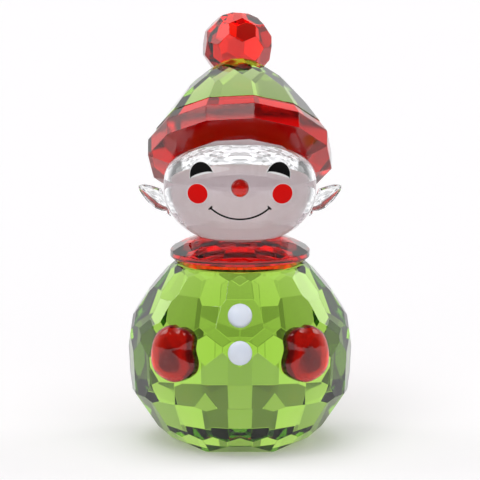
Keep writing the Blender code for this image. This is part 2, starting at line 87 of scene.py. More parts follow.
class Shade(Enum):
    """How a finished piece is shaded: flat, or smooth across edges up to this angle."""

    FACETED = 0.0
    ROUND_RIM = 5.0
    SMOOTH = 35.0


def linear(code: str) -> tuple[float, float, float, float]:
    """Turns an sRGB hex colour into linear values.

    Args:
        code: The colour as six hex digits.

    Returns:
        Red, green, blue and an alpha of 1.
    """
    values = []
    for start in (0, 2, 4):
        value = int(code[start:start + 2], 16) / 255.0
        values.append(value / 12.92 if value <= 0.04045 else ((value + 0.055) / 1.055) ** 2.4)
    return (values[0], values[1], values[2], 1.0)


def set_values(node: bpy.types.Node, values: dict) -> None:
    """Sets a node's input sockets, given by name or number, to the values given."""
    for name, value in values.items():
        node.inputs[name].default_value = value


def add_node(
    tree: bpy.types.NodeTree, kind: str, links: dict | None = None, values: dict | None = None, **settings
) -> bpy.types.Node:
    """Adds a node with its settings, socket values and incoming links.

    A Mix node's inputs 2 and 3 are its two numbers, and its inputs 6 and 7 are its two colours.

    Args:
        tree: The node tree.
        kind: The node's type name, without ShaderNode.
        links: Input socket names or numbers, and the output socket that feeds each.
        values: Input socket names or numbers, and the value that each holds.
        settings: Properties of the node itself.

    Returns:
        The new node.
    """
    node = tree.nodes.new("ShaderNode" + kind)
    for name, value in settings.items():
        setattr(node, name, value)
    set_values(node, values or {})
    for name, source in (links or {}).items():
        tree.links.new(source, node.inputs[name])
    return node


def direction(azimuth: float, tilt: float = 0.0) -> Vector:
    """The unit vector at an azimuth from the front, raised by a tilt.

    Args:
        azimuth: Degrees from the elf's front towards +X.
        tilt: Degrees above the horizontal.

    Returns:
        The unit vector.
    """
    turn = math.radians(azimuth)
    rise = math.radians(tilt)
    return Vector((math.sin(turn) * math.cos(rise), -math.cos(turn) * math.cos(rise), math.sin(rise)))


def slope(lower: Point2, upper: Point2) -> float:
    """The tilt of a facet through two points of a stone's profile.

    Args:
        lower: Radius and height of the lower point.
        upper: Radius and height of the upper point.

    Returns:
        Degrees above the horizontal.
    """
    return math.degrees(math.atan2(lower[0] - upper[0], upper[1] - lower[1]))


@dataclass(frozen=True)
class Tier:
    """Facets of one slope, evenly spaced around a stone's axis.

    Each facet looks tilt degrees above the horizontal and passes through the height at the radius given. The
    first one looks at the azimuth start.
    """

    count: int
    start: float
    tilt: float
    radius: float
    height: float

    def facets(self) -> Iterator[tuple[Vector, Vector]]:
        """Yields a point and the outward normal of each facet."""
        for step in range(self.count):
            azimuth = self.start + step * 360.0 / self.count
            outward = direction(azimuth)
            yield outward * self.radius + Vector((0, 0, self.height)), direction(azimuth, self.tilt)

    def radius_at(self, height: float) -> float:
        """The distance from the axis at which the facets reach a height."""
        return self.radius - (height - self.height) * math.tan(math.radians(self.tilt))


@dataclass(frozen=True)
class Seat:
    """A flat place on a stone, where another piece is cemented."""

    point: Vector
    normal: Vector

    def matrix(self, lift: float) -> Matrix:
        """The place of a piece whose back is its own XY plane and whose +Y is up along the seat.

        Args:
            lift: How far the piece's back stands off the seat.

        Returns:
            The piece's matrix.
        """
        up = Vector((0, 0, 1)) - self.normal * self.normal.z
        up.normalize()
        across = up.cross(self.normal)
        turn = Matrix((across, up, self.normal)).transposed().to_4x4()
        return Matrix.Translation(self.point + self.normal * lift) @ turn


@dataclass(frozen=True)
class Finish:
    """A finish by name. Each kind of finish below dresses the shader as its surface was made."""

    name: str

    def material(self) -> bpy.types.Material:
        """Makes the material.

        Returns:
            The dressed material.
        """
        material = bpy.data.materials.new(self.name)
        material.use_nodes = True
        tree = material.node_tree
        place = add_node(tree, "TexCoord")
        self.dress(tree, tree.nodes["Principled BSDF"], place.outputs["Object"])
        return material

    def dress(self, tree: bpy.types.NodeTree, shader: bpy.types.Node, place: bpy.types.NodeSocket) -> None:
        """Sets the shader and adds its nodes, in a kind of finish."""
        raise NotImplementedError


@dataclass(frozen=True)
class CutCrystal(Finish):
    """Lead crystal that is ground flat and polished with cerium oxide.

    The eye sees deep, even colour that grows with the way the light takes through the stone, and sharp
    reflections. Faint wipe marks, a few millimetres long, keep the polish from looking like a perfect mirror.
    A pressed stone isn't ground: it is a little softer, and a large one ripples where it cooled in the mould.
    """

    surface: str
    body: str
    density: float
    ior: float = 1.56
    roughness: float = 0.0
    wipe_roughness: float = 0.02
    wipe_size: float = 0.004
    wipe_detail: float = 3.0
    wipe_grain: float = 0.6
    wipe_start: float = 0.45
    wipe_full: float = 0.75
    ripple: float = 0.0
    ripple_size: float = 0.002
    ripple_detail: float = 1.0

    def dress(self, tree: bpy.types.NodeTree, shader: bpy.types.Node, place: bpy.types.NodeSocket) -> None:
        """Makes a glass whose colour is inside the stone.

        Args:
            tree: The material's nodes.
            shader: Its shader.
            place: The socket of the object's own coordinates.
        """
        set_values(shader, {
            "Base Color": linear(self.surface), "Transmission Weight": 1.0, "IOR": self.ior,
        })
        wipes = add_node(
            tree, "TexNoise", {"Vector": place},
            {"Scale": 1.0 / self.wipe_size, "Detail": self.wipe_detail, "Roughness": self.wipe_grain},
        )
        polish = add_node(
            tree, "MapRange", {"Value": wipes.outputs["Fac"]},
            {
                "From Min": self.wipe_start, "From Max": self.wipe_full,
                "To Min": self.roughness, "To Max": self.wipe_roughness,
            },
        )
        tree.links.new(polish.outputs["Result"], shader.inputs["Roughness"])
        if self.ripple:
            waves = add_node(
                tree, "TexNoise", {"Vector": place},
                {"Scale": 1.0 / self.ripple_size, "Detail": self.ripple_detail},
            )
            bump = add_node(
                tree, "Bump", {"Height": waves.outputs["Fac"]}, {"Strength": 1.0, "Distance": self.ripple},
            )
            tree.links.new(bump.outputs["Normal"], shader.inputs["Normal"])
        inside = add_node(
            tree, "VolumeAbsorption", None, {"Color": linear(self.body), "Density": self.density},
        )
        tree.links.new(inside.outputs["Volume"], tree.nodes["Material Output"].inputs["Volume"])


@dataclass(frozen=True)
class OpalGlass(Finish):
    """Opaque white glass, pressed and fire-polished.

    The eye sees a milky, faintly blue body with slow clouds in it under an even, soft shine.
    """

    base: str
    cloud: str
    roughness: float
    ior: float = 1.5
    milkiness: float = 0.15
    milk_depth: tuple[float, float, float] = (0.0006, 0.0007, 0.0009)
    cloud_size: float = 0.0016
    cloud_detail: float = 3.0
    shine_spread: Point2 = (0.8, 1.3)

    def dress(self, tree: bpy.types.NodeTree, shader: bpy.types.Node, place: bpy.types.NodeSocket) -> None:
        """Makes an opaque glass with a soft shine.

        Args:
            tree: The material's nodes.
            shader: Its shader.
            place: The socket of the object's own coordinates.
        """
        set_values(shader, {
            "IOR": self.ior, "Subsurface Weight": self.milkiness, "Subsurface Radius": self.milk_depth,
            "Subsurface Scale": 1.0,
        })
        clouds = add_node(
            tree, "TexNoise", {"Vector": place},
            {"Scale": 1.0 / self.cloud_size, "Detail": self.cloud_detail},
        )
        colour = add_node(
            tree, "Mix", {"Factor": clouds.outputs["Fac"]}, {6: linear(self.base), 7: linear(self.cloud)},
            data_type="RGBA",
        )
        tree.links.new(colour.outputs[2], shader.inputs["Base Color"])
        low, high = (self.roughness * share for share in self.shine_spread)
        shine = add_node(tree, "MapRange", {"Value": clouds.outputs["Fac"]}, {"To Min": low, "To Max": high})
        tree.links.new(shine.outputs["Result"], shader.inputs["Roughness"])


@dataclass(frozen=True)
class PrintedEnamel(Finish):
    """Glass enamel, screen printed and fired on.

    The eye sees full, opaque colour with a low gloss and the fine orange peel of the fired paste. The peel is
    drawn 0.12 mm wide, coarser than the real one, which is too fine to show.
    """

    base: str
    thin: str
    roughness: float
    ior: float = 1.5
    gloss: float = 0.12
    grain: float = 0.00012
    grain_detail: float = 2.0
    peel_strength: float = 0.15
    peel_depth: float = 0.00001
    shine_spread: Point2 = (0.8, 1.2)

    def dress(self, tree: bpy.types.NodeTree, shader: bpy.types.Node, place: bpy.types.NodeSocket) -> None:
        """Makes an opaque enamel.

        Args:
            tree: The material's nodes.
            shader: Its shader.
            place: The socket of the object's own coordinates.
        """
        set_values(shader, {"IOR": self.ior, "Specular IOR Level": self.gloss})
        grain = add_node(
            tree, "TexNoise", {"Vector": place}, {"Scale": 1.0 / self.grain, "Detail": self.grain_detail},
        )
        colour = add_node(
            tree, "Mix", {"Factor": grain.outputs["Fac"]}, {6: linear(self.base), 7: linear(self.thin)},
            data_type="RGBA",
        )
        tree.links.new(colour.outputs[2], shader.inputs["Base Color"])
        peel = add_node(
            tree, "Bump", {"Height": grain.outputs["Fac"]},
            {"Strength": self.peel_strength, "Distance": self.peel_depth},
        )
        tree.links.new(peel.outputs["Normal"], shader.inputs["Normal"])
        low, high = (self.roughness * share for share in self.shine_spread)
        shine = add_node(tree, "MapRange", {"Value": grain.outputs["Fac"]}, {"To Min": low, "To Max": high})
        tree.links.new(shine.outputs["Result"], shader.inputs["Roughness"])


@dataclass(frozen=True)
class SilverFoil(Finish):
    """The silvered back of a stone: a thin sprayed mirror.

    The eye sees it only through the stone, as light that comes back out of the red glass. The sprayed silver
    is a little cloudy, which keeps the reflection soft.
    """

    base: str
    roughness: float
    cloud_size: float = 0.0011
    cloud_detail: float = 2.0
    haze_spread: Point2 = (0.5, 2.0)

    def dress(self, tree: bpy.types.NodeTree, shader: bpy.types.Node, place: bpy.types.NodeSocket) -> None:
        """Makes a soft mirror.

        Args:
            tree: The material's nodes.
            shader: Its shader.
            place: The socket of the object's own coordinates.
        """
        set_values(shader, {"Base Color": linear(self.base), "Metallic": 1.0})
        clouds = add_node(
            tree, "TexNoise", {"Vector": place},
            {"Scale": 1.0 / self.cloud_size, "Detail": self.cloud_detail},
        )
        low, high = (self.roughness * share for share in self.haze_spread)
        haze = add_node(tree, "MapRange", {"Value": clouds.outputs["Fac"]}, {"To Min": low, "To Max": high})
        tree.links.new(haze.outputs["Result"], shader.inputs["Roughness"])


@dataclass(frozen=True)
class Finishes:
    """The elf's finishes: one for each of the model's material slots, and four that only the scene has.

    The print under eyes and cheeks, a white underprint that shows past them as painted highlight, the silvered
    backs, the nose's glass and the milky cement are the scene's.
    The nose is small, so its glass is more deeply coloured than that of the mittens.
    """

    green_crystal: CutCrystal = CutCrystal("green_crystal", surface="F4FCEE", body="CCE61E", density=96.0)
    red_crystal: CutCrystal = CutCrystal("red_crystal", surface="FFF4F0", body="FD7818", density=640.0)
    clear_crystal: CutCrystal = CutCrystal("clear_crystal", surface="FAFAFC", body="F0F2F4", density=12.0)
    red_cabochon: CutCrystal = CutCrystal(
        "red_cabochon_glass", surface="FFF0EC", body="F4A020", density=1750.0, roughness=0.02,
        wipe_roughness=0.05, ripple=0.00012,
    )
    white_glass: OpalGlass = OpalGlass("white_opal_glass", base="DEE6F6", cloud="E8EEFA", roughness=0.22)
    black_enamel: PrintedEnamel = PrintedEnamel("black_enamel", base="050507", thin="0C0C0E", roughness=0.5)
    red_enamel: PrintedEnamel = PrintedEnamel("red_enamel", base="E40400", thin="DA0400", roughness=0.5)
    # White underprint under eyes and cheeks. Where it shows past the colour, as a thin rim and a crescent under
    # each eye, it is painted highlight.
    white_base: PrintedEnamel = PrintedEnamel(
        "white_underprint_highlight_enamel", base="F2F2F2", thin="E8E8EA", roughness=0.4,
    )
    silver_foil: SilverFoil = SilverFoil("silvered_backing", base="F0EAE6", roughness=0.10)
    red_nose: CutCrystal = CutCrystal(
        "red_nose_glass", surface="FFF0EC", body="EE8018", density=3000.0, roughness=0.02, wipe_roughness=0.05,
    )
    milky_cement: PrintedEnamel = PrintedEnamel("milky_cement", base="FFF4F6", thin="FAE8EC", roughness=0.5)

    def materials(self) -> Materials:
        """Makes the material of every finish, by the finish's name here."""
        return {name: finish.material() for name, finish in vars(self).items()}


def deselect_all() -> None:
    """Leaves object mode's selection empty."""
    bpy.ops.object.select_all(action="DESELECT")


def select_only(piece: bpy.types.Object) -> None:
    """Selects one piece and makes it active."""
    deselect_all()
    piece.select_set(True)
    bpy.context.view_layer.objects.active = piece


@contextmanager
def editing(piece: bpy.types.Object, everything: bool = True) -> Iterator[None]:
    """Opens a piece in edit mode, and goes back to object mode at the end.

    Args:
        piece: The piece.
        everything: Whether all of it is selected first, and not only what was selected in code.
    """
    select_only(piece)
    bpy.ops.object.mode_set(mode="EDIT")
    if everything:
        bpy.ops.mesh.select_all(action="SELECT")
    yield
    bpy.ops.object.mode_set(mode="OBJECT")


def new_piece(name: str) -> bpy.types.Object:
    """Names the primitive that was just added.

    Args:
        name: The piece's name.

    Returns:
        The piece.
    """
    piece = bpy.context.object
    piece.name = name
    piece.data.name = name
    return piece


def round_blank(name: str, radius: float, bottom: float, top: float, sides: int = 60) -> bpy.types.Object:
    """Adds a round blank between two heights.

    Args:
        name: The piece's name.
        radius: The blank's radius.
        bottom: Its lower height.
        top: Its upper height.
        sides: Its number of sides.

    Returns:
        The piece.
    """
    deselect_all()
    bpy.ops.mesh.primitive_cylinder_add(
        vertices=sides, radius=radius, depth=top - bottom, location=(0, 0, (top + bottom) / 2),
    )
    piece = new_piece(name)
    bpy.ops.object.transform_apply(location=True, rotation=True, scale=True)
    return piece


def flat_disc(name: str, radius: float, steps: int) -> bpy.types.Object:
    """Adds a flat round outline, filled with one face.

    Args:
        name: The piece's name.
        radius: Its radius.
        steps: Its number of points.

    Returns:
        The piece.
    """
    deselect_all()
    bpy.ops.mesh.primitive_circle_add(vertices=steps, radius=radius, fill_type="NGON", location=(0, 0, 0))
    return new_piece(name)


def grind(piece: bpy.types.Object, flats: Iterable[tuple[Vector, Vector]]) -> None:
    """Grinds flat facets on a piece: what lies beyond each one goes, and the cut is closed.

    Args:
        piece: The stone.
        flats: A point of each facet and the way that it looks.
    """
    with editing(piece):
        for point, normal in flats:
            bpy.ops.mesh.select_all(action="SELECT")
            bpy.ops.mesh.bisect(
                plane_co=point, plane_no=normal, use_fill=False, clear_outer=True, threshold=CUT_TOLERANCE,
            )
            if piece.data.total_edge_sel:
                bpy.ops.mesh.edge_face_add()


def grind_tiers(piece: bpy.types.Object, tiers: Sequence[Tier]) -> None:
    """Grinds every facet of the tiers given."""
    grind(piece, [facet for tier in tiers for facet in tier.facets()])


def tidy_mesh(piece: bpy.types.Object) -> None:
    """Merges doubled points and turns all faces outwards."""
    with editing(piece):
        bpy.ops.mesh.remove_doubles(threshold=MERGE)
        bpy.ops.mesh.select_all(action="SELECT")
        bpy.ops.mesh.normals_make_consistent(inside=False)


def polish_edges(piece: bpy.types.Object, width: float, least: float = 4.0) -> None:
    """Breaks the edges between facets, as polishing does.

    Args:
        piece: The stone.
        width: The width of a broken edge.
        least: The smallest angle between facets whose edge is broken, in degrees.
    """
    select_only(piece)
    bevel = piece.modifiers.new("polish", "BEVEL")
    bevel.width = width
    bevel.segments = 1
    bevel.limit_method = "ANGLE"
    bevel.angle_limit = math.radians(least)
    bpy.ops.object.modifier_apply(modifier=bevel.name)


def settle(piece: bpy.types.Object, place: Matrix) -> None:
    """Moves a piece to its place and applies that to its mesh.

    Args:
        piece: The piece, modelled at the origin.
        place: Its matrix.
    """
    piece.matrix_world = place
    select_only(piece)
    bpy.ops.object.transform_apply(location=True, rotation=True, scale=True)


def finish_piece(
    piece: bpy.types.Object, material: bpy.types.Material, node: str | None, shade: Shade
) -> None:
    """Shades a piece, dresses it, hands it to the frame and reports it.

    Args:
        piece: The finished mesh.
        material: Its material.
        node: The solid that it stands for, or None.
        shade: How its faces are shaded.
    """
    select_only(piece)
    if shade is Shade.FACETED:
        bpy.ops.object.shade_flat()
    else:
        bpy.ops.object.shade_smooth_by_angle(angle=math.radians(shade.value))
    piece.data.materials.clear()
    piece.data.materials.append(material)
    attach(piece, "root")
    if node is not None:
        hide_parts(node)
    LOG.info("%s: %d faces", piece.name, len(piece.data.polygons))


def coat_flats(piece: bpy.types.Object, facings: Sequence[Vector], coat: bpy.types.Material) -> None:
    """Coats the flats of a stone where it is cemented.

    Args:
        piece: The finished stone.
        facings: The way that each flat looks.
        coat: The coat's material.
    """
    piece.data.materials.append(coat)
    for face in piece.data.polygons:
        if any(face.normal.dot(facing) > FLAT_COSINE for facing in facings):
            face.material_index = len(piece.data.materials) - 1


def raise_dome(wall: float, rise: float, rings: int, middle: Point2 = (0.0, 0.0)) -> None:
    """Turns the flat outline in edit mode into a cabochon: a low wall and a domed face.

    Args:
        wall: The wall's height.
        rise: How far the dome stands above the wall.
        rings: The number of rings between wall and tip.
        middle: The dome's middle, in the outline's plane.
    """
    bpy.ops.mesh.extrude_region_move(TRANSFORM_OT_translate={"value": (0, 0, wall)})
    share = 1.0
    height = 0.0
    for ring in range(1, rings):
        turn = 0.5 * math.pi * ring / rings
        bpy.ops.mesh.extrude_region_move(
            TRANSFORM_OT_translate={"value": (0, 0, rise * (math.sin(turn) - height))},
        )
        height = math.sin(turn)
        shrink = math.cos(turn) / share
        share = math.cos(turn)
        bpy.ops.transform.resize(value=(shrink, shrink, 1), center_override=(*middle, 0))
    bpy.ops.mesh.extrude_region_move(TRANSFORM_OT_translate={"value": (0, 0, rise * (1 - height))})
    bpy.ops.mesh.merge(type="CENTER")


def press_disc(name: str, radius: float, steps: int, wall: float, rise: float) -> bpy.types.Object:
    """Presses a round, domed stone whose back is the XY plane.

    Args:
        name: The piece's name.
        radius: Its radius.
        steps: The number of points around it.
        wall: The height of its wall.
        rise: How far its dome stands above the wall.

    Returns:
        The piece.
    """
    piece = flat_disc(name, radius, steps)
    with editing(piece):
        raise_dome(wall, rise, DISC_RINGS)
    tidy_mesh(piece)
    return piece


@dataclass(frozen=True)
class Body:
    """The green stone, with its mittens and buttons.

    Its tiers are named from the shoulder down. The panels are the large facets of the front, and the corners
    stand between them. A mitten's outline and crease are seen from outside: x towards the thumb, y up.
    """

    height: float = 0.0226
    shoulder: Tier = Tier(count=20, start=9.0, tilt=50.0, radius=0.0088, height=0.0222)
    kites: Tier = Tier(count=20, start=0.0, tilt=40.0, radius=0.0098, height=0.0210)
    upper_corners: Tier = Tier(count=20, start=9.0, tilt=36.0, radius=0.01124, height=0.0195)
    upper_panels: Tier = Tier(count=10, start=0.0, tilt=31.0, radius=0.01186, height=0.0180)
    side_panels: Tier = Tier(count=10, start=18.0, tilt=33.0, radius=0.01210, height=0.0180)
    chest_corners: Tier = Tier(count=20, start=9.0, tilt=21.0, radius=0.01318, height=0.0161)
    lower_panels: Tier = Tier(count=20, start=0.0, tilt=8.0, radius=0.01372, height=0.0137)
    waist: Tier = Tier(count=20, start=9.0, tilt=-3.0, radius=0.01362, height=0.0093)
    knees: Tier = Tier(count=10, start=18.0, tilt=-10.0, radius=0.01338, height=0.0066)
    skirt: Tier = Tier(count=20, start=9.0, tilt=-34.0, radius=0.01335, height=0.0066)
    foot: Tier = Tier(count=20, start=0.0, tilt=-47.0, radius=0.01112, height=0.0029)
    strip: Tier = Tier(count=6, start=0.0, tilt=-62.0, radius=0.0071, height=0.0)
    polish: float = 0.00003
    mitten_azimuth: float = 35.0
    mitten_height: float = 0.01335
    mitten_tilt: float = 5.0
    seat_depth: float = 0.0003
    glue_line: float = 0.0003
    mitten_outline: tuple[Point2, ...] = (
        (-0.00055, 0.00345), (0.00035, 0.00325), (0.00130, 0.00335), (0.00240, 0.00295),
        (0.00305, 0.00205), (0.00300, 0.00070), (0.00350, -0.00095), (0.00295, -0.00235),
        (0.00060, -0.00350), (-0.00175, -0.00290), (-0.00285, -0.00170), (-0.00305, 0.00020),
        (-0.00235, 0.00230),
    )
    mitten_span_steps: int = 8
    mitten_wall: float = 0.0007
    mitten_dome: float = 0.0014
    mitten_rings: int = 18
    soft_from: float = 0.2
    soft_share: float = 0.5
    soft_rounds: int = 12
    crease_start: Point2 = (0.00055, 0.00325)
    crease_end: Point2 = (0.00165, 0.00195)
    crease_depth: float = 0.0003
    crease_fade: float = 0.5
    crease_width: float = 0.0005
    button_radius: float = 0.00149
    button_steps: int = 64
    button_wall: float = 0.0003
    button_dome: float = 0.0006
    upper_button: float = 0.0180
    lower_button: float = 0.01385

    def build(self, finishes: Materials) -> None:
        """Cuts the body and cements mittens and buttons on it.

        Args:
            finishes: The materials by the finish's name.
        """
        widest = self.lower_panels.radius * BLANK_SPARE
        stone = round_blank("body_stone", widest, 0.0, self.height + CEMENT_HALF)
        grind_tiers(stone, (
            self.shoulder, self.kites, self.upper_corners, self.upper_panels, self.side_panels,
            self.chest_corners, self.lower_panels, self.waist, self.knees, self.skirt, self.foot, self.strip,
        ))
        seats = {side: self.mitten_seat(stone, side) for side in Side}
        tidy_mesh(stone)
        polish_edges(stone, self.polish)
        finish_piece(stone, finishes["green_crystal"], "body", Shade.FACETED)
        for side, seat in seats.items():
            self.build_mitten(seat, side, finishes)
        for node, tier, height in (
            ("upper_button", self.upper_panels, self.upper_button),
            ("lower_button", self.lower_panels, self.lower_button),
        ):
            seat = Seat(Vector((0, -tier.radius_at(height), height)), direction(tier.start, tier.tilt))
            self.build_button(node, seat, finishes["white_glass"])

    def mitten_seat(self, stone: bpy.types.Object, side: Side) -> Seat:
        """Grinds the flat that a mitten is cemented on.

        Args:
            stone: The body.
            side: Which mitten.

        Returns:
            The seat.
        """
        normal = direction(side.value * self.mitten_azimuth, self.mitten_tilt)
        middle = normal * (max(vertex.co.dot(normal) for vertex in stone.data.vertices) - self.seat_depth)
        grind(stone, [(middle, normal)])
        up = Vector((0, 0, 1)) - normal * normal.z
        up.normalize()
        return Seat(middle + up * (self.mitten_height - middle.z) / up.z, normal)

    def mitten_spot(self, side: Side, point: Point2) -> Vector:
        """Turns a point of the outline or crease into the plane of that side's mitten."""
        return Vector((-side.value * point[0], point[1]))

    def mitten_curve(self, side: Side) -> list[Vector]:
        """The closed, smooth curve through the points of a mitten's outline.

        Args:
            side: Which mitten.

        Returns:
            The curve's points, in the plane of the mitten's back.
        """
        corners = [self.mitten_spot(side, point) for point in self.mitten_outline]
        count = len(corners)
        curve = []
        for index in range(count):
            before, start, end, after = (corners[(index + shift) % count] for shift in (-1, 0, 1, 2))
            for step in range(self.mitten_span_steps):
                t = step / self.mitten_span_steps
                curve.append(0.5 * (
                    2 * start + (end - before) * t + (2 * before - 5 * start + 4 * end - after) * t ** 2
                    + (3 * start - before - 3 * end + after) * t ** 3
                ))
        return curve

    def crease_at(self, spot: Vector, side: Side) -> float:
        """How deep the groove between thumb and palm is at a point of the mitten's face.

        Args:
            spot: The point, in the plane of the mitten's back.
            side: Which mitten.

        Returns:
            The depth.
        """
        start = self.mitten_spot(side, self.crease_start)
        along = self.mitten_spot(side, self.crease_end) - start
        share = min(1.0, max(0.0, (spot - start).dot(along) / along.length_squared))
        away = (spot - start - along * share).length
        depth = self.crease_depth * (1.0 - self.crease_fade * share)
        return depth * math.exp(-((away / self.crease_width) ** 2))

    def build_mitten(self, seat: Seat, side: Side, finishes: Materials) -> None:
        """Presses a mitten: a silvered flat back, a low wall and a domed face with a crease by the thumb.

        Args:
            seat: Where it is cemented.
            side: Which mitten.
            finishes: The materials by the finish's name.
        """
        curve = self.mitten_curve(side)
        middle = sum(curve, Vector((0, 0))) / len(curve)
        node = side.node("mitten")
        piece = flat_disc(f"{node}_cabochon", max(spot.length for spot in curve), len(curve))
        for vertex, spot in zip(piece.data.vertices, curve):
            vertex.co = (spot.x, spot.y, 0)
        wall = self.mitten_wall + (self.glue_line - CEMENT_HALF)
        with editing(piece):
            raise_dome(wall, self.mitten_dome, self.mitten_rings, (middle.x, middle.y))
        for vertex in piece.data.vertices:
            vertex.select = vertex.co.z > wall + self.mitten_dome * self.soft_from
        with editing(piece, everything=False):
            bpy.ops.mesh.vertices_smooth(factor=self.soft_share, repeat=self.soft_rounds)
        for vertex in piece.data.vertices:
            if vertex.co.z > self.mitten_wall / 2:
                vertex.co.z -= self.crease_at(Vector((vertex.co.x, vertex.co.y)), side)
        tidy_mesh(piece)
        settle(piece, seat.matrix(CEMENT_HALF))
        finish_piece(piece, finishes["red_cabochon"], node, Shade.SMOOTH)
        coat_flats(piece, [-seat.normal], finishes["silver_foil"])

    def build_button(self, node: str, seat: Seat, material: bpy.types.Material) -> None:
        """Presses a domed button.

        Args:
            node: The solid that it stands for.
            seat: Where it is cemented.
            material: Its material.
        """
        wall = self.button_wall + self.glue_line - CEMENT_HALF
        piece = press_disc(f"{node}_disc", self.button_radius, self.button_steps, wall, self.button_dome)
        settle(piece, seat.matrix(CEMENT_HALF))
        finish_piece(piece, material, node, Shade.SMOOTH)


@dataclass(frozen=True)
class Collar:
    """The red disc between body and head.

    Its crown has main facets, star facets between them that are flatter, and rim facets that are steeper.
    """

    foot: float = 0.0229
    radius: float = 0.0087
    foot_radius: float = 0.0079
    foot_height: float = 0.0007
    rim: float = 0.0007
    height: float = 0.00305
    table_radius: float = 0.0057
    facets: int = 12
    star_drop: float = 0.00015
    star_tilt: float = 11.0
    rim_tilt: float = -14.0
    round_steps: int = 120
    polish: float = 0.00003
    polish_least: float = 6.0

    def build(self, finishes: Materials) -> None:
        """Cuts the collar.

        Args:
            finishes: The materials by the finish's name.
        """
        top = self.foot + self.height
        rim_bottom = self.foot + self.foot_height
        rim_top = rim_bottom + self.rim
        piece = round_blank(
            "collar_stone", self.radius, self.foot - CEMENT_HALF, top + CEMENT_HALF, self.round_steps,
        )
        under_tilt = slope((self.foot_radius, self.foot), (self.radius, rim_bottom))
        main_tilt = slope((self.radius, rim_top), (self.table_radius, top))
        half = 180.0 / self.facets
        grind_tiers(piece, (
            Tier(self.round_steps, 0.0, under_tilt, self.radius, rim_bottom),
            Tier(self.facets, 0.0, main_tilt, self.radius, rim_top),
            Tier(self.facets, half, main_tilt + self.star_tilt, self.table_radius, top - self.star_drop),
            Tier(2 * self.facets, half / 2, main_tilt + self.rim_tilt, self.radius, rim_top),
        ))
        tidy_mesh(piece)
        polish_edges(piece, self.polish, self.polish_least)
        finish_piece(piece, finishes["red_crystal"], "collar", Shade.ROUND_RIM)


